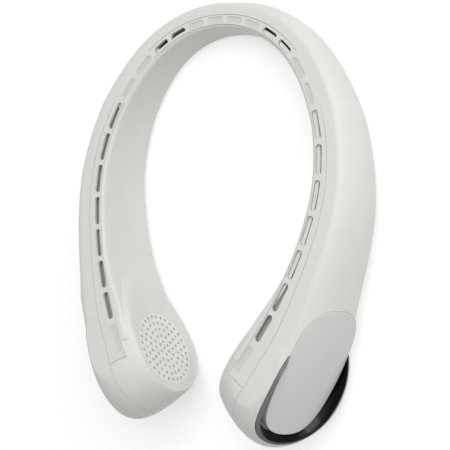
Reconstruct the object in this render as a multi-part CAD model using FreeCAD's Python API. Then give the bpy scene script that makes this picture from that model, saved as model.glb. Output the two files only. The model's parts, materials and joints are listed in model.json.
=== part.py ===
import FreeCAD, Part
import math
import os

from FreeCAD import Matrix, Placement, Rotation, Vector

os.makedirs("parts", exist_ok=True)

# Driving dimensions, in millimetres and degrees.
# Slot line: three tangent arcs from the rear centre, then straight along the pod.
REAR_RADIUS = 59.0
REAR_SWEEP = 52.0
SIDE_RADIUS = 90.0
SIDE_SWEEP = 48.0
ARM_RADIUS = 185.0
ARM_SWEEP = 19.5

# Lengths along the slot line from the rear centre.
REAR_HALF_LENGTH = 47.0
SLEEVE_LENGTH = 28.4
POD_TURN_START = 150.0
POD_TURN_END = 188.0
ARM_END = 203.0
POD_CENTRE = 207.5

# Collar section, measured from the slot line: outwards, and down from the slot face.
NECK_EDGE = 3.3
POD_NECK_EDGE = 6.6
REAR_BULGE = 10.7
ARM_BULGE = 23.3
POD_BULGE = 27.8
REAR_DEPTH = 18.6
UNDERSIDE_SLOPE = 10.7
NECK_CORNER = 3.0
NECK_ROUND = 2.4
WALL = 1.6
CREASE_SHARE = 0.57
POD_CREASE_SHARE = 0.50
BULGE_DEPTH_SHARE = 0.50
POD_BULGE_DEPTH_SHARE = 0.55
UNDERSIDE_SHARE = 0.32
FULLNESS_SHARE = 0.66
ROUND_SHARE = 0.5523
HOLLOW_CHORDS = 3

# Pod: a bun of egg outlines stacked along the fan axis, from the neck face to the crown.
POD_DROP = 25.0
POD_FACE = 8.6
POD_CROWN = 27.0
POD_TILT = 8.0
POD_PITCH = 11.0
POD_END = 29.0
POD_TOP = 29.0
POD_BACK = 50.0
POD_LOW = 30.5
LEVEL_SHARES = (0.0, 0.06, 0.25, 0.50, 0.75, 0.915, 1.0)
TILT_SHARES = (0.0, 0.0, 0.25, 0.50, 0.75, 0.94, 1.0)
END_SHARES = (0.78, 0.84, 0.90, 0.95, 0.95, 0.87, 0.56)
TOP_SHARES = (0.70, 0.77, 0.85, 0.92, 0.91, 0.80, 0.50)
BACK_SHARES = (0.60, 0.86, 1.0, 0.94, 0.84, 0.66, 0.34)
LOW_SHARES = (0.79, 0.90, 0.98, 1.0, 1.0, 0.92, 0.59)

# Outlet strip along the slot face, and the split between the outer and inner shells.
PARTING_SHARE = 0.29
STRIP_EDGE = 1.9
STRIP_SINK = 0.06
STRIP_END = 211.0
SEAM = 0.2
SLOT_WIDTH = 3.4
SLOT_OFFSET = 0.4
BLIND_DEPTH = 0.5
ARM_SLOT_LENGTH = 14.2
ARM_SLOT_PITCH = 16.5
ARM_SLOT_FIRST = 83.7
ARM_SLOT_COUNT = 7
BLIND_SLOT_PLACE = 200.4
SLEEVE_SLOT_LENGTH = 11.5
SLEEVE_SLOT_PITCH = 14.5
SLEEVE_SLOT_COUNT = 2
REAR_SLOT_LENGTH = 9.4
REAR_SLOT_PITCH = 11.5
REAR_SLOT_COUNT = 8
REAR_BLIND_COUNT = 4

# Cover plate on the outer side of the pod, and the crescent trim below it.
COVER_ALONG = -17.0
COVER_OUT = 22.4
COVER_UP = 3.1
COVER_TILT = 9.2
COVER_PITCH = 7.2
COVER_YAW = 4.0
COVER_LENGTH = 66.4
COVER_WIDTH = 38.0
COVER_DOME_RADIUS = 60.0
COVER_LONG_RADIUS = 250.0
COVER_SKIN = 1.6
COVER_ROUND_SHARE = 0.78
POCKET_DEPTH = 5.0
TRIM_SHIFT = 14.9
TRIM_END = 24.1
TRIM_BACK = 36.0
TRIM_TOP = 22.6
TRIM_LOW = 24.4
TRIM_ROUND_SHARE = 0.69
TRIM_SKIN = 1.0
TRIM_COVE = 3.2
TRIM_RISE = 4.6
COVE_SHARES = ((0.0, 1.0), (0.3, 0.4), (1.0, 0.0))

# Intake grille in the neck face of the pod.
GRILLE_RADIUS = 19.2
GRILLE_THICKNESS = 1.2
GRILLE_LEDGE = 1.0
GRILLE_LEDGE_DEPTH = 1.4
GRILLE_CLEARANCE = 0.1
HOLE_RADIUS = 0.95
HOLE_SIDES = 6
HOLE_RING_PITCH = 3.4
HOLE_RING_COUNT = 5

# Fan: an impeller round an outer-rotor motor, placed along the pod axis from its centre.
IMPELLER_RADIUS = 17.5
IMPELLER_FRONT = -5.6
IMPELLER_BACK = 7.0
IMPELLER_PLATE = 1.2
IMPELLER_RING = 1.9
HUB_WALL = 0.95
HUB_FILLET = 1.2
BLADE_ROOT = 11.0
BLADE_COUNT = 17
BLADE_THICKNESS = 0.9
BLADE_LAG = 24.0
BLADE_CURVE_SHARE = 0.36
ROTOR_RADIUS = 8.6
ROTOR_WALL = 0.7
ROTOR_FRONT = 0.0
ROTOR_BOSS_RADIUS = 2.4
ROTOR_BOSS_HEIGHT = 1.3
MAGNET_THICKNESS = 0.9
AIR_GAP = 0.3
SHAFT_RADIUS = 1.0
SHAFT_RUN = 0.03
FIT = 0.02
BEARING_RADIUS = 2.0
BEARING_LENGTH = 5.0
BOSS_RADIUS = 3.0
MOTOR_GAP = 1.6
MOTOR_PLATE_THICKNESS = 1.6
MOTOR_PLATE_RADIUS = 9.6
EAR_PLACE = 12.3
EAR_RADIUS = 2.6
EAR_COUNT = 3
STATOR_HEIGHT = 4.2
STATOR_HUB = 1.0
STATOR_SHOE = 0.8
STATOR_POLES = 6
POLE_WIDTH = 1.5
SHOE_SWEEP = 46.0
COIL_WIDTH = 3.0
COIL_RISE = 0.7
SCREW_RADIUS = 0.9
SCREW_HEAD_RADIUS = 1.7
SCREW_HEAD_HEIGHT = 0.9
SCREW_LENGTH = 4.2
SCREW_CLEARANCE = 0.1

# Floor of the air duct, a shelf of the inner shell under the outlet strip.
DUCT_DEPTH = 5.4
DUCT_FLOOR = 1.2
DUCT_START = 82.0
DUCT_END = 190.0

# Flex joint inside the soft sleeve.
HINGE_SHIFT = 0.3
HINGE_OFFSET = 5.8
PIN_RADIUS = 1.5
PIN_RUN = 0.05
KNUCKLE_RADIUS = 3.6
KNUCKLE_DROP = 5.3
FORK_KNUCKLE = 3.5
LINK_KNUCKLE = 5.0
KNUCKLE_GAP = 0.2
BAR_WIDTH = 4.4
FLANGE_THICKNESS = 2.5
FLANGE_SETBACK = 1.5
FLANGE_RIM = 1.6
FLANGE_CLEARANCE = 0.2

# Battery cell in each arm and its cradle ribs.
CELL_RADIUS = 7.0
CELL_LENGTH = 43.0
CELL_PLACE = 138.0
CELL_OFFSET = 6.6
CELL_DROP = 19.0
CELL_CLEARANCE = 0.1
CELL_TIP_RADIUS = 2.8
CELL_TIP = 0.9
RIB_THICKNESS = 2.0
RIB_SPACING = 26.0
RIB_TOP = 21.0
RIB_BOTTOM = 27.4

# Controls on the underside of the right arm, on a board parallel to that face.
CONTROL_PLACE = 150.0
CONTROL_OFFSET = 2.8
BOARD_LENGTH = 32.0
BOARD_WIDTH = 6.4
BOARD_THICKNESS = 1.2
BOARD_HEIGHT = 7.3
POST_RADIUS = 1.0
POST_INSET = 1.6
BUTTON_PLACE = -8.2
BUTTON_LENGTH = 9.0
BUTTON_WIDTH = 4.4
BUTTON_FLANGE = 0.6
BUTTON_FLANGE_HEIGHT = 0.8
BUTTON_CLEARANCE = 0.15
BUTTON_TRAVEL = 0.6
STEM_RADIUS = 1.0
STEM_CLEARANCE = 0.2
SWITCH_SIDE = 4.5
SWITCH_HEIGHT = 3.4
SOCKET_PLACE = 8.6
SOCKET_LENGTH = 8.9
SOCKET_WIDTH = 3.2
SOCKET_SKIN = 0.3
SOCKET_TONGUE_LENGTH = 6.6
SOCKET_TONGUE_WIDTH = 0.7
SOCKET_TONGUE_DEPTH = 1.0
SOCKET_CLEARANCE = 0.1
LIGHT_PLACE = 0.5
LIGHT_RADIUS = 0.7
LIGHT_PITCH = 2.0
LIGHT_COUNT = 3
LIGHT_CLEARANCE = 0.05

# Small lands ground on the lowest places, and the run of every cut past its piece.
REST_LAND = 0.4
OVERRUN = 250.0

ORIGIN = Vector(0, 0, 0)
RIGHT = Vector(1, 0, 0)
OUT = Vector(0, 1, 0)
UP = Vector(0, 0, 1)
ARM_START = REAR_HALF_LENGTH + SLEEVE_LENGTH
SLEEVE_MIDDLE = (REAR_HALF_LENGTH + ARM_START) / 2
HINGE_PLACE = SLEEVE_MIDDLE + HINGE_SHIFT


def point_at(length):
    """Place of the slot line and its outward direction, this far from the rear centre."""
    x = 0.0
    y = 0.0
    heading = 0.0
    left = abs(length)
    for radius, sweep in ((REAR_RADIUS, REAR_SWEEP), (SIDE_RADIUS, SIDE_SWEEP), (ARM_RADIUS, ARM_SWEEP)):
        turn = min(left / radius, math.radians(sweep))
        x += radius * (math.sin(heading + turn) - math.sin(heading))
        y += radius * (math.cos(heading + turn) - math.cos(heading))
        heading += turn
        left -= turn * radius
    x += left * math.cos(heading)
    y -= left * math.sin(heading)
    side = math.copysign(1, length)
    return Vector(side * x, y, 0), Vector(side * math.sin(heading), math.cos(heading), 0)


def frame_at(length, drop=0.0):
    """Frame on the slot line: x along the arm to its end, y outwards, z up."""
    base, out = point_at(length)
    along = out.cross(UP)
    return Placement(Matrix(along.x, out.x, 0, base.x, along.y, out.y, 0, base.y, 0, 0, 1, -drop))


def ease(share):
    share = min(max(share, 0), 1)
    return share * share * (3 - 2 * share)


def pod_turn(length):
    return ease((abs(length) - POD_TURN_START) / (POD_TURN_END - POD_TURN_START))


def bulge_at(length):
    arcs = ARM_RADIUS * math.radians(ARM_SWEEP) + SIDE_RADIUS * math.radians(SIDE_SWEEP)
    arcs += REAR_RADIUS * math.radians(REAR_SWEEP)
    steady = REAR_BULGE + (ARM_BULGE - REAR_BULGE) * abs(length) / arcs
    return steady + (POD_BULGE - ARM_BULGE) * pod_turn(length)


def parting_at(length):
    return PARTING_SHARE * bulge_at(length)


def floor_at(length, offset):
    """Height of the underside below the slot face."""
    base, out = point_at(length)
    return math.tan(math.radians(UNDERSIDE_SLOPE)) * (base.y + offset * out.y) - REAR_DEPTH


def spread(start, end, count):
    return [start + (end - start) * i / (count - 1) for i in range(count)]


def put(shape, placement):
    moved = shape.copy()
    moved.Placement = placement.multiply(shape.Placement)
    return moved


def box(x, y, z):
    """Box between pairs of x, y and z."""
    return Part.makeBox(x[1] - x[0], y[1] - y[0], z[1] - z[0], Vector(x[0], y[0], z[0]))


def rod(radius, start, end, along=OUT, foot=ORIGIN):
    return Part.makeCylinder(radius, end - start, foot + along * start, along)


def ring(outer, inner, start, end):
    return rod(outer, start, end).cut(rod(inner, start - OVERRUN, end + OVERRUN))


def prism(wire, travel):
    return Part.Face(wire).extrude(travel)


def bezier(*poles):
    curve = Part.BezierCurve()
    curve.setPoles(list(poles))
    return curve.toShape()


def chords(edges, count):
    """The same closed run of edges, with its curves turned into this many straight chords each."""
    points = []
    for edge in edges:
        steps = count if edge.Curve.TypeId == "Part::GeomBezierCurve" else 1
        first, last = edge.ParameterRange
        points += [edge.valueAt(first + (last - first) * i / steps) for i in range(steps)]
    return Part.makePolygon(points + points[:1])


def stadium(length, width):
    """Flat outline with round ends, along x in the x, y plane."""
    r = width / 2
    s = length / 2 - r
    return Part.Wire([
        Part.makeLine(Vector(-s, -r, 0), Vector(s, -r, 0)),
        Part.Arc(Vector(s, -r, 0), Vector(s + r, 0, 0), Vector(s, r, 0)).toShape(),
        Part.makeLine(Vector(s, r, 0), Vector(-s, r, 0)),
        Part.Arc(Vector(-s, r, 0), Vector(-s - r, 0, 0), Vector(-s, -r, 0)).toShape(),
    ])


def section(length, inset=0.0, rise=0.0):
    """Closed outline of the collar across the slot line, its flat top raised by rise. Drawn in, it has chords."""
    base, out = point_at(length)
    turn = pod_turn(length)
    bulge = bulge_at(length)

    def floor(offset):
        return floor_at(length, offset) + inset

    def at(offset, height):
        return base + out * offset + UP * height

    neck = inset - NECK_EDGE - (POD_NECK_EDGE - NECK_EDGE) * turn
    crease = bulge * (CREASE_SHARE + (POD_CREASE_SHARE - CREASE_SHARE) * turn)
    swell = bulge - inset
    low = UNDERSIDE_SHARE * bulge
    top = -inset
    middle = (BULGE_DEPTH_SHARE + (POD_BULGE_DEPTH_SHARE - BULGE_DEPTH_SHARE) * turn) * (floor(bulge) - inset)
    reach = swell - crease
    corner = max(NECK_CORNER - inset, NECK_CORNER * (1 - ROUND_SHARE))
    pull = corner * (1 - ROUND_SHARE)
    f = FULLNESS_SHARE
    soft = NECK_ROUND * (1 - ROUND_SHARE)
    edges = [
        Part.makeLine(at(neck + NECK_ROUND, top + rise), at(crease, top + rise)),
        bezier(at(crease, top), at(crease + f * reach, top), at(swell, middle + (1 - f) * (top - middle)),
               at(swell, middle)),
        bezier(at(swell, middle), at(swell, middle + f * (floor(low) - middle)),
               at(low + f * (swell - low), floor(low + f * (swell - low))), at(low, floor(low))),
        Part.makeLine(at(low, floor(low)), at(neck + corner, floor(neck + corner))),
        bezier(at(neck + corner, floor(neck + corner)), at(neck + pull, floor(neck + pull)),
               at(neck, floor(neck) + pull), at(neck, floor(neck) + corner)),
        Part.makeLine(at(neck, floor(neck) + corner), at(neck, top - NECK_ROUND)),
        bezier(at(neck, top - NECK_ROUND), at(neck, top - soft), at(neck + soft, top), at(neck + NECK_ROUND, top)),
    ]
    if rise:
        edges.insert(1, Part.makeLine(at(crease, top + rise), at(crease, top)))
        edges.append(Part.makeLine(at(neck + NECK_ROUND, top), at(neck + NECK_ROUND, top + rise)))
    if inset:
        return chords(edges, HOLLOW_CHORDS)
    return Part.Wire(edges)


def collar(stations, inset=0.0, rise=0.0):
    return Part.makeLoft([section(s, inset, rise) for s in stations], True)


def ribbon(stations, near, far, low, high):
    """Solid along the slot line between two offsets, given as functions of the length, and two heights."""
    wires = []
    for s in stations:
        base, out = point_at(s)
        corners = [base + out * near(s) + UP * low, base + out * far(s) + UP * low,
                   base + out * far(s) + UP * high, base + out * near(s) + UP * high]
        wires.append(Part.makePolygon(corners + corners[:1]))
    return Part.makeLoft(wires, True)


def egg(end, top, back, low, share=ROUND_SHARE):
    """Edges of an egg-shaped outline in the x, z plane: four quarter arcs."""
    corners = ((end, top), (-back, top), (-back, -low), (end, -low))
    edges = []
    for i, (x, z) in enumerate(corners):
        a = RIGHT * x
        b = UP * z
        if i % 2:
            edges.append(bezier(b, b + a * share, a + b * share, a))
        else:
            edges.append(bezier(a, a + b * share, b + a * share, b))
    return edges


POD = frame_at(POD_CENTRE, POD_DROP)


def pod_bun(inset=0.0):
    wires = []
    for i, share in enumerate(LEVEL_SHARES):
        level = (POD_FACE + POD_CROWN - inset - inset) * share - POD_FACE + inset
        edges = egg(POD_END * END_SHARES[i] - inset, POD_TOP * TOP_SHARES[i] - inset,
                    POD_BACK * BACK_SHARES[i] - inset, POD_LOW * LOW_SHARES[i] - inset)
        wire = chords(edges, HOLLOW_CHORDS) if inset else Part.Wire(edges)
        tilt = Rotation(RIGHT, POD_TILT * TILT_SHARES[i])
        wire.Placement = Placement(OUT * level, tilt.multiply(Rotation(OUT, POD_PITCH)))
        wires.append(wire)
    return put(Part.makeLoft(wires, True, inset > 0), POD)


def above(height):
    """Everything over this height of the slot face."""
    return box((-OVERRUN, OVERRUN), (-OVERRUN, OVERRUN), (height, OVERRUN))


def arm_envelope(inset=0.0):
    """Arm and pod as one body, cut level at the slot face. Drawn in, it runs out past the sleeve seam."""
    start = ARM_START - inset
    body = collar(spread(start, ARM_END, 10), inset, WALL).fuse(pod_bun(inset))
    return body.cut(above(-inset))


def cover_rotation():
    turn = Rotation(UP, COVER_YAW).multiply(Rotation(RIGHT, COVER_TILT))
    return turn.multiply(Rotation(OUT, COVER_PITCH))


COVER = POD.multiply(Placement(Vector(COVER_ALONG, COVER_OUT, COVER_UP), cover_rotation()))


def cover_block(grow, low, high):
    """Oval block of the cover plate, in the cover frame, grown on its outline."""
    length = COVER_LENGTH / 2 + grow
    width = COVER_WIDTH / 2 + grow
    wire = Part.Wire(egg(length, width, length, width, COVER_ROUND_SHARE))
    wire.Placement = Placement(OUT * low, Rotation())
    return prism(wire, OUT * (high - low))


def trim_wire(grow, level):
    """Egg-shaped outline of the crescent trim at one level of the cover frame."""
    wire = Part.Wire(egg(TRIM_END + grow, TRIM_TOP + grow, TRIM_BACK + grow, TRIM_LOW + grow, TRIM_ROUND_SHARE))
    wire.Placement = Placement(Vector(TRIM_SHIFT, level, 0), Rotation())
    return wire


def trim_block(grow, low, high):
    """Straight block on the outline of the crescent trim, grown on it."""
    return prism(trim_wire(grow, low), OUT * (high - low))


def trim_cove():
    """Dished room inside the crescent trim, wider towards its rim."""
    floor = TRIM_SKIN - POCKET_DEPTH
    wires = []
    for inward, height in COVE_SHARES:
        wires.append(trim_wire(-TRIM_SKIN - TRIM_COVE * inward, floor + (TRIM_RISE - floor) * height))
    return Part.makeLoft(wires, True)


def pocket_block(grow, low):
    """Room of the plate and the trim together, from its floor outwards, in place."""
    block = cover_block(grow, low, OVERRUN).fuse(trim_block(grow, low, OVERRUN))
    return put(block, COVER)


def dome(sunk):
    """Barrel-shaped body whose crown is the domed face of the cover plate."""
    half = COVER_WIDTH / 2
    sagitta = COVER_DOME_RADIUS - math.sqrt(COVER_DOME_RADIUS ** 2 - half ** 2)
    major = COVER_LONG_RADIUS - COVER_DOME_RADIUS
    centre = OUT * (sagitta - COVER_LONG_RADIUS)
    return Part.makeTorus(major, COVER_DOME_RADIUS - sunk, centre, UP)


def slot(place, length, low, high):
    cutter = prism(stadium(length, SLOT_WIDTH), UP * (high - low))
    cutter.translate(Vector(0, SLOT_OFFSET, low))
    return put(cutter, frame_at(place))


def past(length):
    """Everything beyond this length of the slot line, towards the arm's end, on its own side."""
    return put(box((0, OVERRUN), (-OVERRUN, OVERRUN), (-OVERRUN, OVERRUN)), frame_at(length))


def before(length):
    return put(box((-OVERRUN, 0), (-OVERRUN, OVERRUN), (-OVERRUN, OVERRUN)), frame_at(length))


def outlet_strip(stations, ends, open_slots, blind_slots, slot_length):
    """Outlet strip between two ends, with slots right through and blind ones."""
    strip = ribbon(stations, lambda s: SEAM - STRIP_EDGE, lambda s: parting_at(s) - SEAM, -WALL, -STRIP_SINK)
    cutters = ends + [slot(s, slot_length, -OVERRUN, OVERRUN) for s in open_slots]
    cutters += [slot(s, slot_length, -STRIP_SINK - BLIND_DEPTH, OVERRUN) for s in blind_slots]
    return strip.cut(cutters)


def split(shell, stations, ends):
    """Outer and inner shells on either side of the parting, with the room of the strip cut from the inner."""
    outside = ribbon(stations, parting_at, lambda s: OVERRUN, -OVERRUN, OVERRUN)
    gap = ribbon(stations, lambda s: parting_at(s) - SEAM, lambda s: OVERRUN, -OVERRUN, OVERRUN)
    room = ribbon(stations, lambda s: -STRIP_EDGE, lambda s: parting_at(s) + WALL, -WALL, OVERRUN)
    if ends:
        room = room.cut(ends)
    return shell.common(outside), shell.cut([gap, room])


def hinge_half(seam, into, knuckles, bore):
    """Hinge piece: a windowed flange inside a shell's end, with bars to knuckles on the flex axis."""
    near = seam + into * FLANGE_SETBACK
    far = near + into * FLANGE_THICKNESS
    middle = (near + far) / 2
    inset = WALL + FLANGE_CLEARANCE
    flange = collar([near, far], inset)
    window = collar([near - into * FLANGE_THICKNESS, far + into * FLANGE_THICKNESS], inset + FLANGE_RIM)
    hinge = frame_at(HINGE_PLACE)
    axis = hinge.multVec(OUT * HINGE_OFFSET)
    along = hinge.Rotation.multVec(RIGHT)
    base, out = point_at(middle)
    reach = (base - axis).dot(along)
    side = (axis + along * reach - base).dot(out)
    half = BAR_WIDTH / 2
    web = put(box((-OVERRUN, OVERRUN), (side - half, side + half), (-OVERRUN, OVERRUN)), frame_at(middle))
    piece = flange.cut(window.cut(web))
    for high, low in knuckles:
        bar = box(sorted((0, reach)), (HINGE_OFFSET - half, HINGE_OFFSET + half), (low, high))
        eye = rod(KNUCKLE_RADIUS, low, high, UP, OUT * HINGE_OFFSET)
        piece = piece.fuse([put(bar, hinge), put(eye, hinge)])
    hole = put(rod(bore, -OVERRUN, OVERRUN, UP, OUT * HINGE_OFFSET), hinge)
    return piece.cut(hole)


def polar(radius, angle, level):
    return Vector(radius * math.cos(angle), level, radius * math.sin(angle))


def blade():
    """One blade of the impeller, swept back from its root to its tip."""
    tip = IMPELLER_RADIUS - BLADE_THICKNESS / 4
    radii = (BLADE_ROOT, (BLADE_ROOT + tip) / 2, tip)
    lag = math.radians(BLADE_LAG)
    lags = (0, BLADE_CURVE_SHARE * lag, lag)
    front = IMPELLER_FRONT + IMPELLER_PLATE / 2
    back = IMPELLER_BACK - IMPELLER_PLATE / 2
    sides = []
    for sign in (1, -1):
        sides.append([polar(r, a + sign * BLADE_THICKNESS / (2 * r), front) for r, a in zip(radii, lags)])
    a, b = sides
    wire = Part.Wire([Part.Arc(*a).toShape(), Part.makeLine(a[2], b[2]), Part.Arc(*reversed(b)).toShape(),
                      Part.makeLine(b[0], a[0])])
    return prism(wire, OUT * (back - front))


def turned(shape, count, i):
    return put(shape, Placement(ORIGIN, Rotation(OUT, 360 * i / count)))


def impeller():
    hub_radius = ROTOR_RADIUS + FIT
    hub_front = ROTOR_FRONT - FIT - HUB_WALL
    hub = rod(hub_radius + HUB_WALL, hub_front, IMPELLER_BACK)
    hub = hub.makeFillet(HUB_FILLET, [e for e in hub.Edges if abs(e.CenterOfMass.y - hub_front) < HUB_WALL / 2])
    plate = rod(IMPELLER_RADIUS, IMPELLER_BACK - IMPELLER_PLATE, IMPELLER_BACK)
    band = ring(IMPELLER_RADIUS, IMPELLER_RADIUS - IMPELLER_RING, IMPELLER_FRONT, IMPELLER_FRONT + IMPELLER_PLATE)
    blades = [turned(blade(), BLADE_COUNT, i) for i in range(BLADE_COUNT)]
    body = hub.fuse([plate, band] + blades)
    return body.cut(rod(hub_radius, ROTOR_FRONT - FIT, OVERRUN))


rotor_boss_end = ROTOR_FRONT + ROTOR_WALL + ROTOR_BOSS_HEIGHT
magnet_radius = ROTOR_RADIUS - ROTOR_WALL - FIT
stator_radius = magnet_radius - MAGNET_THICKNESS - AIR_GAP
motor_front = IMPELLER_BACK + MOTOR_GAP
motor_back = motor_front + MOTOR_PLATE_THICKNESS
bearing_start = rotor_boss_end + AIR_GAP


def rotor_can():
    cup = rod(ROTOR_RADIUS, ROTOR_FRONT, IMPELLER_BACK)
    cup = cup.cut(rod(ROTOR_RADIUS - ROTOR_WALL, ROTOR_FRONT + ROTOR_WALL, OVERRUN))
    boss = rod(ROTOR_BOSS_RADIUS, ROTOR_FRONT, rotor_boss_end)
    return cup.fuse(boss).cut(rod(SHAFT_RADIUS + FIT, -OVERRUN, OVERRUN))


def motor_plate():
    plate = rod(MOTOR_PLATE_RADIUS, motor_front, motor_back)
    boss = rod(BOSS_RADIUS, bearing_start, motor_back)
    ear = rod(EAR_RADIUS, motor_front, motor_back, OUT, UP * EAR_PLACE)
    arm = box((-EAR_RADIUS, EAR_RADIUS), (motor_front, motor_back), (0, EAR_PLACE))
    hole = rod(SCREW_RADIUS + SCREW_CLEARANCE, -OVERRUN, OVERRUN, OUT, UP * EAR_PLACE)
    ears = [turned(part, EAR_COUNT, i) for i in range(EAR_COUNT) for part in (ear, arm)]
    holes = [turned(hole, EAR_COUNT, i) for i in range(EAR_COUNT)]
    seat = rod(BEARING_RADIUS + FIT, bearing_start - OVERRUN, motor_front)
    return plate.fuse([boss] + ears).cut([seat] + holes)


stator_back = motor_front - COIL_RISE - AIR_GAP
stator_front = stator_back - STATOR_HEIGHT


def stator_core():
    hub = ring(BOSS_RADIUS + FIT + STATOR_HUB, BOSS_RADIUS + FIT, stator_front, stator_back)
    half = POLE_WIDTH / 2
    span = (BOSS_RADIUS + STATOR_HUB / 2, stator_radius - STATOR_SHOE / 2)
    pole = box(span, (stator_front, stator_back), (-half, half))
    shoe = Part.makeCylinder(stator_radius, STATOR_HEIGHT, OUT * stator_front, OUT, SHOE_SWEEP)
    shoe = shoe.cut(rod(stator_radius - STATOR_SHOE, -OVERRUN, OVERRUN))
    middle = shoe.CenterOfGravity
    shoe = put(shoe, Placement(ORIGIN, Rotation(OUT, math.degrees(math.atan2(middle.z, middle.x)))))
    teeth = [turned(part, STATOR_POLES, i) for i in range(STATOR_POLES) for part in (pole, shoe)]
    return hub.fuse(teeth)


def stator_coils():
    half = POLE_WIDTH / 2 + FIT
    span = (BOSS_RADIUS + STATOR_HUB + AIR_GAP, stator_radius - STATOR_SHOE - AIR_GAP)
    coil = box(span, (stator_front - COIL_RISE, stator_back + COIL_RISE), (-COIL_WIDTH / 2, COIL_WIDTH / 2))
    coil = coil.makeFillet(COIL_RISE / 2, [e for e in coil.Edges if abs(e.tangentAt(0).x) > 1 / 2])
    coil = coil.cut(box((-OVERRUN, OVERRUN), (stator_front - FIT, stator_back + FIT), (-half, half)))
    return Part.makeCompound([turned(coil, STATOR_POLES, i) for i in range(STATOR_POLES)])


def motor_screws():
    head = rod(SCREW_HEAD_RADIUS, motor_front - SCREW_HEAD_HEIGHT, motor_front)
    shank = rod(SCREW_RADIUS, motor_front, motor_front + SCREW_LENGTH)
    screw = head.fuse(shank)
    screw.translate(UP * EAR_PLACE)
    return Part.makeCompound([turned(screw, EAR_COUNT, i) for i in range(EAR_COUNT)])


def intake_grille():
    disc = rod(GRILLE_RADIUS, -POD_FACE, GRILLE_THICKNESS - POD_FACE)
    corners = [polar(HOLE_RADIUS, 2 * math.pi * i / HOLE_SIDES, -OVERRUN) for i in range(HOLE_SIDES)]
    hole = prism(Part.makePolygon(corners + corners[:1]), OUT * (OVERRUN + OVERRUN))
    holes = [hole]
    for k in range(1, HOLE_RING_COUNT + 1):
        moved = hole.translated(RIGHT * HOLE_RING_PITCH * k)
        holes += [turned(moved, 6 * k, i) for i in range(6 * k)]
    return disc.cut(holes)


# Envelopes of the right arm with its pod, the rear section and the sleeve, and their hollows.
arm_outer = arm_envelope()
arm_hollow = arm_envelope(WALL)
arm_core = arm_envelope(WALL / 2)
rear_stations = spread(-REAR_HALF_LENGTH, REAR_HALF_LENGTH, 9)
rear_outer = collar(rear_stations)
hollow_stations = spread(-REAR_HALF_LENGTH - WALL, REAR_HALF_LENGTH + WALL, 9)
rear_hollow = collar(hollow_stations, WALL)
sleeve_outer = collar(spread(REAR_HALF_LENGTH, ARM_START, 4))
sleeve_hollow = collar(spread(REAR_HALF_LENGTH - WALL, ARM_START + WALL, 4), WALL)


def lowest(points, angle):
    turn = math.radians(angle)
    return min(p.y * math.sin(turn) + p.z * math.cos(turn) for p in points)


# The part lies on the undersides of the rear and of both pods: the turn that levels it, found by halving.
arm_points = arm_outer.tessellate(SEAM)[0]
rear_points = rear_outer.tessellate(SEAM)[0]
steep = -3 * UNDERSIDE_SLOPE
flat = 0.0
for step in range(20):
    level = (steep + flat) / 2
    if lowest(arm_points, level) < lowest(rear_points, level):
        flat = level
    else:
        steep = level
tilted = Placement(ORIGIN, Rotation(RIGHT, level))
arm_bounds = put(arm_outer, tilted).optimalBoundingBox(False)
rear_bounds = put(rear_outer, tilted).optimalBoundingBox(False)
ground = max(arm_bounds.ZMin, rear_bounds.ZMin) + REST_LAND
REST = Placement(Vector(0, -(arm_bounds.YMin + rear_bounds.YMax) / 2, -ground), Rotation(RIGHT, level))
below = put(box((-OVERRUN, OVERRUN), (-OVERRUN, OVERRUN), (-OVERRUN, 0)), REST.inverse())

# Rear section.
rear_tube = rear_outer.cut(rear_hollow)
rear_end = REAR_HALF_LENGTH + WALL
rear_line = spread(-rear_end, rear_end, 13)
rear_outer_shell, rear_inner_shell = split(rear_tube, rear_line, [])
rear_places = [(i - (REAR_SLOT_COUNT - 1) / 2) * REAR_SLOT_PITCH for i in range(REAR_SLOT_COUNT)]
blind_from = (REAR_SLOT_COUNT - REAR_BLIND_COUNT) // 2
rear_blind = rear_places[blind_from:blind_from + REAR_BLIND_COUNT]
rear_open = rear_places[:blind_from] + rear_places[blind_from + REAR_BLIND_COUNT:]
rear_ends = [past(REAR_HALF_LENGTH), past(REAR_HALF_LENGTH).mirror(ORIGIN, RIGHT)]
rear_slot_strip = outlet_strip(rear_line, rear_ends, rear_open, rear_blind, REAR_SLOT_LENGTH)

# Soft sleeve of the flex joint, with its blind slots.
sleeve_places = [SLEEVE_MIDDLE + (i - (SLEEVE_SLOT_COUNT - 1) / 2) * SLEEVE_SLOT_PITCH
                 for i in range(SLEEVE_SLOT_COUNT)]
sleeve_cuts = [slot(s, SLEEVE_SLOT_LENGTH, -STRIP_SINK - BLIND_DEPTH, OVERRUN) for s in sleeve_places]
flex_sleeve = sleeve_outer.cut([sleeve_hollow] + sleeve_cuts)

# Flex joint: fork on the rear section, link on the arm, and the pin through both.
fork_top = -KNUCKLE_DROP
link_top = fork_top - FORK_KNUCKLE - KNUCKLE_GAP
lower_top = link_top - LINK_KNUCKLE - KNUCKLE_GAP
fork_bottom = lower_top - FORK_KNUCKLE
fork_eyes = [(fork_top, fork_top - FORK_KNUCKLE), (lower_top, fork_bottom)]
link_eyes = [(link_top, link_top - LINK_KNUCKLE)]
hinge_fork = hinge_half(REAR_HALF_LENGTH, -1, fork_eyes, PIN_RADIUS + FIT)
hinge_link = hinge_half(ARM_START, 1, link_eyes, PIN_RADIUS + PIN_RUN)
hinge_pin = put(rod(PIN_RADIUS, fork_bottom, fork_top, UP, OUT * HINGE_OFFSET), frame_at(HINGE_PLACE))

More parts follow.
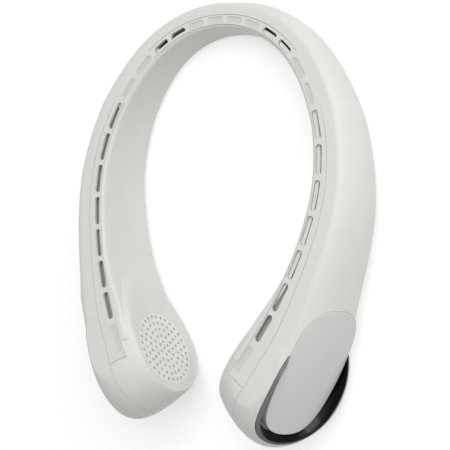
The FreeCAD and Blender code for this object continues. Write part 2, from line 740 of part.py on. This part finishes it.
# Arm shells: the hollow stays clear of the pocket behind the cover plate and the trim.
pocket_back = pocket_block(WALL, -POCKET_DEPTH - WALL)
pocket = pocket_block(SEAM, -POCKET_DEPTH)
arm_tube = arm_outer.cut(arm_hollow.cut(pocket_back)).cut(pocket)
pod_tip = POD_CENTRE + POD_END + WALL
arm_line = spread(ARM_START - WALL, pod_tip, 20)
outer_shell, inner_shell = split(arm_tube, arm_line, [past(STRIP_END)])
arm_slots = [ARM_SLOT_FIRST + i * ARM_SLOT_PITCH for i in range(ARM_SLOT_COUNT)]
arm_ends = [before(ARM_START), past(STRIP_END - SEAM)]
slot_strip = outlet_strip(arm_line, arm_ends, arm_slots, [BLIND_SLOT_PLACE], ARM_SLOT_LENGTH)

# Posts behind the pocket that carry the motor plate.
post = rod(EAR_RADIUS, motor_back, OVERRUN, OUT, UP * EAR_PLACE)
pilot_end = motor_front + SCREW_LENGTH + SCREW_CLEARANCE
pilot = rod(SCREW_RADIUS + FIT, motor_back - OVERRUN, pilot_end, OUT, UP * EAR_PLACE)
posts = [put(turned(post, EAR_COUNT, i), POD) for i in range(EAR_COUNT)]
pilots = [put(turned(pilot, EAR_COUNT, i), POD) for i in range(EAR_COUNT)]
post_room = arm_core.cut(pocket_block(WALL, -POCKET_DEPTH - WALL / 2))
outer_shell = outer_shell.fuse([p.common(post_room) for p in posts]).cut(pilots)

# Seat of the grille: a through hole, a ledge and a ring behind it.
grille_floor = GRILLE_THICKNESS - POD_FACE
opening = rod(GRILLE_RADIUS - GRILLE_LEDGE, -OVERRUN, 0)
seat = rod(GRILLE_RADIUS + GRILLE_CLEARANCE, -OVERRUN, grille_floor)
ledge = rod(GRILLE_RADIUS + GRILLE_LEDGE, grille_floor, grille_floor + GRILLE_LEDGE_DEPTH)
inner_shell = inner_shell.fuse(put(ledge, POD)).cut([put(opening, POD), put(seat, POD)])

# Cradle ribs of the battery cell, on the inner shell.
cell_frame = frame_at(CELL_PLACE).multiply(Placement(Vector(0, CELL_OFFSET, -CELL_DROP), Rotation()))
cell_room = put(rod(CELL_RADIUS + CELL_CLEARANCE, -CELL_LENGTH, CELL_LENGTH, RIGHT), cell_frame)
outside = ribbon(arm_line, lambda s: parting_at(s) - WALL, lambda s: OVERRUN, -OVERRUN, OVERRUN)
for sign in (-1, 1):
    place = CELL_PLACE + sign * RIB_SPACING / 2
    rib = collar([place - RIB_THICKNESS / 2, place + RIB_THICKNESS / 2], WALL / 2)
    rib = rib.common(above(-RIB_BOTTOM)).cut([above(-RIB_TOP), outside, cell_room])
    inner_shell = inner_shell.fuse(rib)

# Floor of the air duct, between the neck wall and the parting of the shells.
shelf = ribbon(arm_line, lambda s: WALL / 2 - NECK_EDGE, lambda s: parting_at(s) - SEAM - SEAM,
               -DUCT_DEPTH - DUCT_FLOOR, -DUCT_DEPTH)
inner_shell = inner_shell.fuse(shelf.cut([before(DUCT_START), past(DUCT_END)]))

cell = rod(CELL_RADIUS, -CELL_LENGTH / 2, CELL_LENGTH / 2 - CELL_TIP, RIGHT)
cell = cell.fuse(rod(CELL_TIP_RADIUS, CELL_LENGTH / 2 - CELL_TIP, CELL_LENGTH / 2, RIGHT))
battery_cell = put(cell, cell_frame)

# Pod pieces, built in the pod frame.
magnet_front = ROTOR_FRONT + ROTOR_WALL + FIT
fan_pieces = {
    "impeller": impeller(),
    "rotor_can": rotor_can(),
    "magnet_ring": ring(magnet_radius, magnet_radius - MAGNET_THICKNESS, magnet_front, IMPELLER_BACK),
    "fan_shaft": rod(SHAFT_RADIUS, ROTOR_FRONT, motor_front - AIR_GAP),
    "motor_bearing": ring(BEARING_RADIUS, SHAFT_RADIUS + SHAFT_RUN, bearing_start, bearing_start + BEARING_LENGTH),
    "motor_plate": motor_plate(),
    "stator_core": stator_core(),
    "stator_coils": stator_coils(),
    "motor_screws": motor_screws(),
    "intake_grille": intake_grille(),
}

# Cover plate: a domed cap with a skirt down to the floor of the pocket.
cap = cover_block(0, -POCKET_DEPTH, OVERRUN).common(dome(0))
cap = cap.cut(cover_block(-COVER_SKIN, -OVERRUN, OVERRUN).common(dome(COVER_SKIN)))
cover_plate = put(cap, COVER)

# Crescent trim: a dished channel round the end of the plate, level with the pod at its rim.
channel = trim_block(0, -POCKET_DEPTH, OVERRUN).cut(trim_cove())
channel = channel.cut(cover_block(SEAM, -OVERRUN, OVERRUN))
crescent_trim = put(channel, COVER).common(arm_outer)

arm_pieces = {
    "outer_shell": outer_shell.cut(below),
    "inner_shell": inner_shell.cut(below),
    "slot_strip": slot_strip,
    "cover_plate": cover_plate,
    "crescent_trim": crescent_trim,
    "battery_cell": battery_cell,
    "hinge_link": hinge_link,
    "hinge_fork": hinge_fork,
    "hinge_pin": hinge_pin,
    "flex_sleeve": flex_sleeve,
}
for name, shape in fan_pieces.items():
    arm_pieces[name] = put(shape, POD)

pieces = {}
for name, shape in arm_pieces.items():
    pieces["right_" + name] = shape
    pieces["left_" + name] = shape.mirror(ORIGIN, RIGHT)

# Controls of the right arm: x along the arm, z into it from the underside.
base, out = point_at(CONTROL_PLACE)
slope = math.radians(UNDERSIDE_SLOPE)
inward = Vector(0, -math.sin(slope), math.cos(slope))
along = out.cross(inward).normalize()
across = inward.cross(along)
spot = base + out * CONTROL_OFFSET + UP * floor_at(CONTROL_PLACE, CONTROL_OFFSET)
CONTROLS = Placement(Matrix(along.x, across.x, inward.x, spot.x, along.y, across.y, inward.y, spot.y,
                            along.z, across.z, inward.z, spot.z))


def control_stadium(place, length, width, low, high):
    shape = prism(stadium(length, width), UP * (high - low))
    return shape.translated(Vector(place, 0, low))


flange_top = WALL + BUTTON_FLANGE_HEIGHT
switch_front = BOARD_HEIGHT - SWITCH_HEIGHT
stem_end = switch_front + BUTTON_TRAVEL
stem_foot = RIGHT * BUTTON_PLACE
button = control_stadium(BUTTON_PLACE, BUTTON_LENGTH, BUTTON_WIDTH, 0, flange_top)
brim = control_stadium(BUTTON_PLACE, BUTTON_LENGTH + 2 * BUTTON_FLANGE, BUTTON_WIDTH + 2 * BUTTON_FLANGE,
                       WALL + BUTTON_CLEARANCE, flange_top)
stem = rod(STEM_RADIUS, 0, stem_end, UP, stem_foot)
button = button.fuse([brim, stem])
switch_half = SWITCH_SIDE / 2
switch = box((BUTTON_PLACE - switch_half, BUTTON_PLACE + switch_half), (-switch_half, switch_half),
             (switch_front, BOARD_HEIGHT))
switch = switch.cut(rod(STEM_RADIUS + STEM_CLEARANCE, 0, stem_end + BUTTON_TRAVEL + STEM_CLEARANCE, UP, stem_foot))
board = box((-BOARD_LENGTH / 2, BOARD_LENGTH / 2), (-BOARD_WIDTH / 2, BOARD_WIDTH / 2),
            (BOARD_HEIGHT, BOARD_HEIGHT + BOARD_THICKNESS))
socket = control_stadium(SOCKET_PLACE, SOCKET_LENGTH, SOCKET_WIDTH, 0, BOARD_HEIGHT)
mouth = control_stadium(SOCKET_PLACE, SOCKET_LENGTH - 2 * SOCKET_SKIN, SOCKET_WIDTH - 2 * SOCKET_SKIN,
                        -OVERRUN, BOARD_HEIGHT - SOCKET_SKIN)
tongue = box((SOCKET_PLACE - SOCKET_TONGUE_LENGTH / 2, SOCKET_PLACE + SOCKET_TONGUE_LENGTH / 2),
             (-SOCKET_TONGUE_WIDTH / 2, SOCKET_TONGUE_WIDTH / 2),
             (SOCKET_TONGUE_DEPTH, BOARD_HEIGHT - SOCKET_SKIN / 2))
socket = socket.cut(mouth).fuse(tongue)
light_places = [RIGHT * (LIGHT_PLACE + (i - (LIGHT_COUNT - 1) / 2) * LIGHT_PITCH) for i in range(LIGHT_COUNT)]
lights = Part.makeCompound([rod(LIGHT_RADIUS, 0, BOARD_HEIGHT, UP, p) for p in light_places])
post_places = [RIGHT * (sign * (BOARD_LENGTH / 2 - POST_INSET)) for sign in (-1, 1)]
posts = [rod(POST_RADIUS, WALL / 2, BOARD_HEIGHT, UP, p) for p in post_places]
cuts = [
    control_stadium(BUTTON_PLACE, BUTTON_LENGTH + 2 * BUTTON_CLEARANCE, BUTTON_WIDTH + 2 * BUTTON_CLEARANCE,
                    -OVERRUN, WALL + WALL),
    control_stadium(SOCKET_PLACE, SOCKET_LENGTH + 2 * SOCKET_CLEARANCE, SOCKET_WIDTH + 2 * SOCKET_CLEARANCE,
                    -OVERRUN, WALL + WALL),
]
cuts += [rod(LIGHT_RADIUS + LIGHT_CLEARANCE, -OVERRUN, WALL + WALL, UP, p) for p in light_places]
shell = pieces["right_inner_shell"]
shell = shell.fuse([put(p, CONTROLS) for p in posts]).cut([put(c, CONTROLS) for c in cuts])
pieces["right_inner_shell"] = shell
for name, shape in (("power_button", button), ("power_switch", switch), ("control_board", board),
                    ("charging_socket", socket), ("indicator_lights", lights)):
    pieces[name] = put(shape, CONTROLS)

pieces["rear_outer_shell"] = rear_outer_shell.cut(below)
pieces["rear_inner_shell"] = rear_inner_shell.cut(below)
pieces["rear_slot_strip"] = rear_slot_strip

for name, shape in sorted(pieces.items()):
    placed = put(shape, REST)
    placed.exportStep("parts/" + name + ".step")
    print(name, placed.isValid(), len(placed.Solids), round(placed.Volume, 2))
print("rest turn", round(level, 4), "place", REST.Base)
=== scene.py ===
import json
import math

import bmesh
import bpy
from mathutils import Matrix, Vector


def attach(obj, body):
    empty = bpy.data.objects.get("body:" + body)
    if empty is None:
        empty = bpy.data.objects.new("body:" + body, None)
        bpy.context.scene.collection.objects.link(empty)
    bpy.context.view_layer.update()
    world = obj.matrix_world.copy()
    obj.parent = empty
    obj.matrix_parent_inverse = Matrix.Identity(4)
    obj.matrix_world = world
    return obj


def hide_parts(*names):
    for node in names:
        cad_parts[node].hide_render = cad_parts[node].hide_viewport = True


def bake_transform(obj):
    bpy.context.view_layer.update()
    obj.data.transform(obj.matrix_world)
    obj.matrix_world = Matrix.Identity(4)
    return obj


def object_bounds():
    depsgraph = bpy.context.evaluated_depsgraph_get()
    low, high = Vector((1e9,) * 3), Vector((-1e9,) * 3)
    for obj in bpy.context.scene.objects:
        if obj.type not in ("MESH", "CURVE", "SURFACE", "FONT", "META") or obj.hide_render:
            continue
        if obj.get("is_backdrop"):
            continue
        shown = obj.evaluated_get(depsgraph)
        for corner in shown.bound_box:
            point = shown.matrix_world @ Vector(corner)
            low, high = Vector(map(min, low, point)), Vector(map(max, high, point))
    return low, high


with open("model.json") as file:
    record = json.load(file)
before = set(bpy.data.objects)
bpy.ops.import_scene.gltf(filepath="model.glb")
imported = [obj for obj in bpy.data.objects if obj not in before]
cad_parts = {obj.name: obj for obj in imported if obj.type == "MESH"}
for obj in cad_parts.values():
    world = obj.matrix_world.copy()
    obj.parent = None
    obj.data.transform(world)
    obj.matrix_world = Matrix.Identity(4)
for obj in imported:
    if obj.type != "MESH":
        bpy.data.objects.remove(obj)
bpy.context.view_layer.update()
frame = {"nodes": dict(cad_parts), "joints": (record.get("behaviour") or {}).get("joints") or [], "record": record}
nodes = frame["nodes"]
scene = bpy.context.scene
scene.view_settings.view_transform = "Standard"

# The slot face's own frame, from the right flex joint: x to the right arm, y to the rear, z out of the slots.
FLEX_PLACE = Vector((0.055974, -0.025998, -0.0115))
flex = next(j for j in frame["joints"] if j["name"] == "right_flex")
slot_turn = Matrix.Rotation(-math.atan2(flex["axis"][1], flex["axis"][2]), 3, "X")
slot_shift = Vector(flex["pos_m"]) - slot_turn @ FLEX_PLACE
slot_up = slot_turn @ Vector((0, 0, 1))


def in_row(point):
    """A point of the slot frame, in the row frame."""
    return slot_turn @ Vector(point) + slot_shift


# ---------------------------------------------------------------- materials

# Where the noise turns from the low to the high tone, how much the gloss plays, and the grain's height.
LOW_STOP = 0.3
HIGH_STOP = 0.7
GLOSS_PLAY = 0.07
GLOSS_SCALE = 5
GRAIN_SCALE = 2500
GRAIN_HEIGHT = 0.00005

# Depths under the slot face: the blind slots' floors lie between the first two, the open slots' walls below.
BLIND_TOP = 0.0003
BLIND_BOTTOM = 0.0008
WALL_BOTTOM = 0.0016
FLAT_SHARE = 0.98

# The right cover plate's own frame, in the slot frame: its middle, along it and up across it.
COVER_MIDDLE = (0.06311, -0.16256, -0.02202)
COVER_ALONG = (-0.409, -0.9041, -0.1237)
COVER_UP = (-0.1971, -0.0448, 0.9794)
PLATING_SCALE = 90.0
PLATING_DRIFT = 0.06


def new_material(name):
    material = bpy.data.materials.new(name)
    material.use_nodes = True
    tree = material.node_tree
    tree.nodes.clear()
    output = tree.nodes.new("ShaderNodeOutputMaterial")
    shader = tree.nodes.new("ShaderNodeBsdfPrincipled")
    tree.links.new(shader.outputs["BSDF"], output.inputs["Surface"])
    return material, tree, shader


def noise(tree, scale, detail=2.0):
    place = tree.nodes.new("ShaderNodeTexCoord")
    node = tree.nodes.new("ShaderNodeTexNoise")
    node.inputs["Scale"].default_value = scale
    node.inputs["Detail"].default_value = detail
    tree.links.new(place.outputs["Object"], node.inputs["Vector"])
    return node.outputs["Fac"]


def ramp(tree, source, stops):
    node = tree.nodes.new("ShaderNodeValToRGB")
    elements = node.color_ramp.elements
    while len(elements) > 1:
        elements.remove(elements[-1])
    elements[0].position = stops[0][0]
    elements[0].color = (*stops[0][1], 1)
    for place, colour in stops[1:]:
        elements.new(place).color = (*colour, 1)
    tree.links.new(source, node.inputs["Fac"])
    return node.outputs["Color"]


def feed(tree, sockets, values):
    """Link each value that is a socket, and set each one that is a constant."""
    for socket, value in zip(sockets, values):
        if isinstance(value, bpy.types.NodeSocket):
            tree.links.new(value, socket)
        else:
            socket.default_value = value


def maths(tree, operation, *values):
    node = tree.nodes.new("ShaderNodeMath")
    node.operation = operation
    feed(tree, node.inputs, values)
    return node.outputs["Value"]


def vector_maths(tree, operation, *values):
    node = tree.nodes.new("ShaderNodeVectorMath")
    node.operation = operation
    feed(tree, node.inputs, values)
    return node.outputs["Value" if operation in ("DOT_PRODUCT", "LENGTH") else "Vector"]


def map_range(tree, source, start, end, first, last):
    node = tree.nodes.new("ShaderNodeMapRange")
    node.inputs["From Min"].default_value = start
    node.inputs["From Max"].default_value = end
    node.inputs["To Min"].default_value = first
    node.inputs["To Max"].default_value = last
    tree.links.new(source, node.inputs["Value"])
    return node.outputs["Result"]


def recess_shade(tree, floors, walls):
    """Share of the tone taken off the blind slots' floors, and off the open slots' walls towards their foot."""
    place = tree.nodes.new("ShaderNodeTexCoord")
    height = vector_maths(tree, "DOT_PRODUCT", place.outputs["Object"], slot_up)
    depth = maths(tree, "SUBTRACT", slot_shift.dot(slot_up), height)
    facing = vector_maths(tree, "DOT_PRODUCT", place.outputs["Normal"], slot_up)
    flat = maths(tree, "GREATER_THAN", facing, FLAT_SHARE)
    below = maths(tree, "GREATER_THAN", depth, BLIND_TOP)
    above = maths(tree, "LESS_THAN", depth, BLIND_BOTTOM)
    sunk = maths(tree, "MULTIPLY", below, above)
    blind = maths(tree, "MULTIPLY", flat, sunk)
    deep = map_range(tree, depth, BLIND_BOTTOM, WALL_BOTTOM, 0, walls)
    return maths(tree, "ADD", maths(tree, "MULTIPLY", blind, floors), deep)


def grained(name, colour, roughness, spread=0.02, scale=60, metallic=0.0, grain=0.0, floors=0.0, walls=0.0):
    """A moulded or metal surface: slow drift in tone, a little play in its gloss, grain and shaded recesses."""
    material, tree, shader = new_material(name)
    low = [c * (1 - spread) for c in colour]
    high = [min(1.0, c * (1 + spread)) for c in colour]
    surface = ramp(tree, noise(tree, scale, 3.0), [(LOW_STOP, low), (HIGH_STOP, high)])
    if floors:
        darken = tree.nodes.new("ShaderNodeVectorMath")
        darken.operation = "SCALE"
        tree.links.new(surface, darken.inputs[0])
        kept = maths(tree, "SUBTRACT", 1.0, recess_shade(tree, floors, walls))
        tree.links.new(kept, darken.inputs["Scale"])
        surface = darken.outputs["Vector"]
    tree.links.new(surface, shader.inputs["Base Color"])
    least = roughness * (1 - GLOSS_PLAY)
    most = roughness * (1 + GLOSS_PLAY)
    gloss = map_range(tree, noise(tree, scale * GLOSS_SCALE), 0, 1, least, most)
    tree.links.new(gloss, shader.inputs["Roughness"])
    shader.inputs["Metallic"].default_value = metallic
    if grain:
        bump = tree.nodes.new("ShaderNodeBump")
        bump.inputs["Strength"].default_value = grain
        bump.inputs["Distance"].default_value = GRAIN_HEIGHT
        tree.links.new(noise(tree, GRAIN_SCALE, 1.0), bump.inputs["Height"])
        tree.links.new(bump.outputs["Normal"], shader.inputs["Normal"])
    return material


def plating_with_painted_light(name, stops, roughness, level, by_height, by_tilt, by_end):
    """Dark plating of the dished trims, with painted shade and painted reflection: black painted shade low beside
    the plate, and grey painted reflection up its other side.
    """
    material, tree, shader = new_material(name)
    place = tree.nodes.new("ShaderNodeTexCoord")
    parts = tree.nodes.new("ShaderNodeSeparateXYZ")
    tree.links.new(place.outputs["Object"], parts.inputs["Vector"])
    mirror = tree.nodes.new("ShaderNodeCombineXYZ")
    feed(tree, mirror.inputs, (maths(tree, "SIGN", parts.outputs["X"]), 1.0, 1.0))
    hand = mirror.outputs["Vector"]
    up = slot_turn @ Vector(COVER_UP)
    along = slot_turn @ Vector(COVER_ALONG)
    spot = vector_maths(tree, "MULTIPLY", place.outputs["Object"], hand)
    spot = vector_maths(tree, "SUBTRACT", spot, in_row(COVER_MIDDLE))
    facing = vector_maths(tree, "MULTIPLY", place.outputs["Normal"], hand)
    total = maths(tree, "MULTIPLY_ADD", noise(tree, PLATING_SCALE), PLATING_DRIFT, level)
    # Painted shade and painted reflection: the tone follows height across the plate, facing up across it and
    # facing along it.
    for first, second, weight in ((spot, up, by_height), (facing, up, by_tilt), (facing, along, by_end)):
        share = vector_maths(tree, "DOT_PRODUCT", first, second)
        total = maths(tree, "MULTIPLY_ADD", share, weight, total)
    tree.links.new(ramp(tree, total, stops), shader.inputs["Base Color"])
    shader.inputs["Metallic"].default_value = 1.0
    shader.inputs["Roughness"].default_value = roughness
    return material


WHITE = (0.76, 0.755, 0.73)
SOFT_WHITE = (0.755, 0.75, 0.725)
# Tones of the trims' dark plating, from black painted shade beside the plate to grey painted reflection.
PLATING_PAINTED_LIGHT = [
    (0.0, (0.006, 0.006, 0.007)),
    (0.25, (0.03, 0.03, 0.033)),
    (0.55, (0.16, 0.165, 0.18)),
    (1.0, (0.42, 0.43, 0.45)),
]
looks = {
    "shell": grained("white_shell", WHITE, 0.46, 0.008, grain=0.04),
    "strip": grained("white_strip", SOFT_WHITE, 0.47, 0.008, grain=0.04, floors=0.11, walls=0.55),
    "cover": grained("satin_cover", (0.70, 0.70, 0.684), 0.38, 0.012, grain=0.03),
    # Dark plating of the trims, with painted shade and painted reflection.
    "trim": plating_with_painted_light("dark_plating_painted_light", PLATING_PAINTED_LIGHT, 0.18, 0.27, 10.0, 0.03, -0.12),
    # Grey of the sheets under the slots: painted shade of the white duct inside.
    "duct": grained("grey_painted_shade", (0.40, 0.40, 0.385), 0.6, 0.02),
    "sleeve": grained("soft_sleeve", SOFT_WHITE, 0.50, 0.01, grain=0.08, floors=0.14),
    "grille": grained("white_grille", (0.84, 0.835, 0.815), 0.45, 0.012, grain=0.08),
    "button": grained("white_button", (0.66, 0.66, 0.645), 0.36, 0.01, grain=0.05),
    "lights": grained("light_pipe", (0.78, 0.80, 0.82), 0.18, 0.02),
    "impeller": grained("pale_impeller", (0.74, 0.74, 0.72), 0.42, 0.03),
    "frame": grained("pale_frame", (0.68, 0.68, 0.665), 0.5, 0.03),
    "board": grained("green_board", (0.015, 0.09, 0.04), 0.35, 0.15, 300),
    "steel": grained("plain_steel", (0.56, 0.56, 0.57), 0.28, 0.05, 200, metallic=1.0),
    "magnet": grained("dark_magnet", (0.06, 0.06, 0.065), 0.45, 0.1, metallic=0.6),
    "bronze": grained("sintered_bronze", (0.45, 0.29, 0.13), 0.42, 0.1, 400, metallic=1.0),
    "copper": grained("copper_wire", (0.60, 0.24, 0.10), 0.32, 0.15, 500, metallic=1.0),
    "cell": grained("battery_sleeve", (0.05, 0.13, 0.30), 0.32, 0.06),
}

slots = {row["node"]: row["material_slot"] for row in frame["record"]["subparts"]}
for name, node in nodes.items():
    node.data.materials.clear()
    node.data.materials.append(looks[slots[name]])

# ---------------------------------------------------------------- smooth shading of the solids

SHARP = math.radians(28)
WELD_REACH = 0.000002
for node in nodes.values():
    weld = node.modifiers.new("weld", "WELD")
    weld.merge_threshold = WELD_REACH
    crease = node.modifiers.new("crease", "EDGE_SPLIT")
    crease.split_angle = SHARP
    crease.use_edge_sharp = False
    for face in node.data.polygons:
        face.use_smooth = True

# ---------------------------------------------------------------- soft sleeves, cut into rings across the flex joints

SLEEVE_START = (0.04218, -0.01775)
SLEEVE_END = (0.05773, -0.04136)
SLEEVE_RINGS = 12
for side, sign in (("right", 1), ("left", -1)):
    start = in_row((SLEEVE_START[0] * sign, SLEEVE_START[1], 0))
    end = in_row((SLEEVE_END[0] * sign, SLEEVE_END[1], 0))
    mesh = nodes[side + "_flex_sleeve"].data.copy()
    sleeve = bpy.data.objects.new(side + "_sleeve_skin", mesh)
    scene.collection.objects.link(sleeve)
    work = bmesh.new()
    work.from_mesh(mesh)
    bmesh.ops.remove_doubles(work, verts=work.verts, dist=WELD_REACH)
    for i in range(1, SLEEVE_RINGS):
        place = start.lerp(end, i / SLEEVE_RINGS)
        everything = work.verts[:] + work.edges[:] + work.faces[:]
        bmesh.ops.bisect_plane(work, geom=everything, plane_co=place, plane_no=end - start)
    creases = [e for e in work.edges if len(e.link_faces) == 2 and e.calc_face_angle(0) > SHARP]
    bmesh.ops.split_edges(work, edges=creases)
    for face in work.faces:
        face.smooth = True
    work.to_mesh(mesh)
    work.free()
    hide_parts(side + "_flex_sleeve")
    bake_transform(sleeve)

# ---------------------------------------------------------------- grey sheets under the outlet slots, painted shade of the white duct inside

# Depth and thickness of the grey painted-shade sheets under the slot face.
SHADE_SHEET_DEPTH = 0.0026
SHADE_SHEET_THICKNESS = 0.0004
FACE_REACH = 0.00001


def longest_rim(work):
    """Points round the longest open rim of a mesh, in order."""
    open_edges = dict.fromkeys(e for e in work.edges if len(e.link_faces) == 1)
    rims = []
    while open_edges:
        edge = next(iter(open_edges))
        del open_edges[edge]
        start, here = edge.verts
        points = [start.co.copy()]
        length = edge.calc_length()
        while here is not start:
            points.append(here.co.copy())
            edge = next(e for e in here.link_edges if e in open_edges)
            del open_edges[edge]
            length += edge.calc_length()
            here = edge.other_vert(here)
        rims.append((length, points))
    return max(rims, key=lambda rim: rim[0])[1]


for side in ("right", "left"):
    work = bmesh.new()
    work.from_mesh(nodes[side + "_slot_strip"].data)
    bmesh.ops.remove_doubles(work, verts=work.verts, dist=WELD_REACH)
    edge_height = max(v.co.dot(slot_up) for v in work.verts) - FACE_REACH
    rest = [f for f in work.faces if any(v.co.dot(slot_up) < edge_height for v in f.verts)]
    bmesh.ops.delete(work, geom=rest, context="FACES")
    rim = longest_rim(work)
    work.free()
    work = bmesh.new()
    top = work.faces.new([work.verts.new(co - slot_up * SHADE_SHEET_DEPTH) for co in rim])
    grown = bmesh.ops.extrude_face_region(work, geom=[top])
    low = [g for g in grown["geom"] if isinstance(g, bmesh.types.BMVert)]
    bmesh.ops.translate(work, verts=low, vec=-slot_up * SHADE_SHEET_THICKNESS)
    bmesh.ops.triangulate(work, faces=work.faces)
    bmesh.ops.recalc_face_normals(work, faces=work.faces)
    mesh = bpy.data.meshes.new(side + "_painted_shade_sheet")
    work.to_mesh(mesh)
    work.free()
    shade_sheet = bpy.data.objects.new(side + "_painted_shade_sheet", mesh)
    scene.collection.objects.link(shade_sheet)
    mesh.materials.append(looks["duct"])
    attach(shade_sheet, side + "_arm")

# ---------------------------------------------------------------- floor, light and camera

PURE_WHITE = (1, 1, 1, 1)
WORLD_FILL = 0.21
FLOOR_REACH = 6.0
FLOOR_DROP = 0.0003
FLOOR_LOW = (0.85, 0.85, 0.85)
FLOOR_HIGH = (0.87, 0.87, 0.87)

# The floor is lifted to white where it is seen, and more so away from the object, where the lamps fall off.
LIFT_NEAR = 0.3
LIFT_FAR = 1.6
LIFT_LOW = 0.40
LIFT_HIGH = 0.86


def seen_straight(tree):
    """1 where the surroundings are seen straight, in a mirror or through glass, and 0 where they only light."""
    path = tree.nodes.new("ShaderNodeLightPath")
    total = path.outputs["Is Camera Ray"]
    for name in ("Is Glossy Ray", "Is Transmission Ray"):
        total = maths(tree, "MAXIMUM", total, path.outputs[name])
    return total


def background(tree, strength):
    node = tree.nodes.new("ShaderNodeBackground")
    node.inputs["Color"].default_value = PURE_WHITE
    node.inputs["Strength"].default_value = strength
    return node.outputs["Background"]


world = bpy.data.worlds.new("studio")
scene.world = world
world.use_nodes = True
tree = world.node_tree
tree.nodes.clear()
output = tree.nodes.new("ShaderNodeOutputWorld")
mix = tree.nodes.new("ShaderNodeMixShader")
tree.links.new(seen_straight(tree), mix.inputs["Fac"])
tree.links.new(background(tree, WORLD_FILL), mix.inputs[1])
tree.links.new(background(tree, 1.0), mix.inputs[2])
tree.links.new(mix.outputs["Shader"], output.inputs["Surface"])

corners = [(x * FLOOR_REACH, y * FLOOR_REACH, 0) for x, y in ((-1, -1), (1, -1), (1, 1), (-1, 1))]
floor_mesh = bpy.data.meshes.new("floor")
floor_mesh.from_pydata(corners, [], [(0, 1, 2, 3)])
floor = bpy.data.objects.new("floor", floor_mesh)
floor.location = (0, 0, -FLOOR_DROP)
scene.collection.objects.link(floor)
material, tree, shader = new_material("pale_floor")
tone = ramp(tree, noise(tree, 3.0), [(LOW_STOP, FLOOR_LOW), (HIGH_STOP, FLOOR_HIGH)])
tree.links.new(tone, shader.inputs["Base Color"])
shader.inputs["Roughness"].default_value = 0.9
shader.inputs["Emission Color"].default_value = PURE_WHITE
place = tree.nodes.new("ShaderNodeTexCoord")
away = vector_maths(tree, "LENGTH", place.outputs["Object"])
glow = map_range(tree, away, LIFT_NEAR, LIFT_FAR, LIFT_LOW, LIFT_HIGH)
lift = maths(tree, "MULTIPLY", seen_straight(tree), glow)
tree.links.new(lift, shader.inputs["Emission Strength"])
floor_mesh.materials.append(material)
floor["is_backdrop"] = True

# Softboxes: place, side and power.
AIM = Vector((0, 0, 0.03))
SOFTBOXES = {
    "key": ((0.75, 0.75, 1.05), 1.5, 17.0),
    "top": ((-0.10, 0.15, 1.40), 1.8, 3.0),
    "left": ((-1.20, 0.10, 0.70), 1.2, 2.4),
    "right": ((1.10, -0.20, 0.55), 0.9, 1.1),
}
for name, (place, side, power) in SOFTBOXES.items():
    light = bpy.data.lights.new(name, "AREA")
    light.shape = "SQUARE"
    light.size = side
    light.energy = power
    lamp = bpy.data.objects.new(name, light)
    lamp.location = place
    lamp.rotation_mode = "QUATERNION"
    lamp.rotation_quaternion = (AIM - Vector(place)).to_track_quat("-Z", "Y")
    scene.collection.objects.link(lamp)

# The camera that was fitted to the photograph, in the slot frame.
CAMERA_PLACE = (0.4291, -0.13855, 0.54915)
CAMERA_RIGHT = (0.7973, 0.1391, -0.5874)
CAMERA_DOWN = (0.0773, -0.9886, -0.1291)
CAMERA_FORWARD = (-0.5986, 0.0575, -0.7990)
data = bpy.data.cameras.new("camera")
data.lens = 116.0
data.sensor_width = 36.0
data.clip_start = 0.01
data.clip_end = 50.0
camera = bpy.data.objects.new("camera", data)
columns = [Vector(CAMERA_RIGHT), -Vector(CAMERA_DOWN), -Vector(CAMERA_FORWARD)]
turn = Matrix([slot_turn @ c.normalized() for c in columns]).transposed()
camera.matrix_world = Matrix.Translation(in_row(CAMERA_PLACE)) @ turn.to_4x4()
scene.collection.objects.link(camera)
scene.camera = camera

low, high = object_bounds()
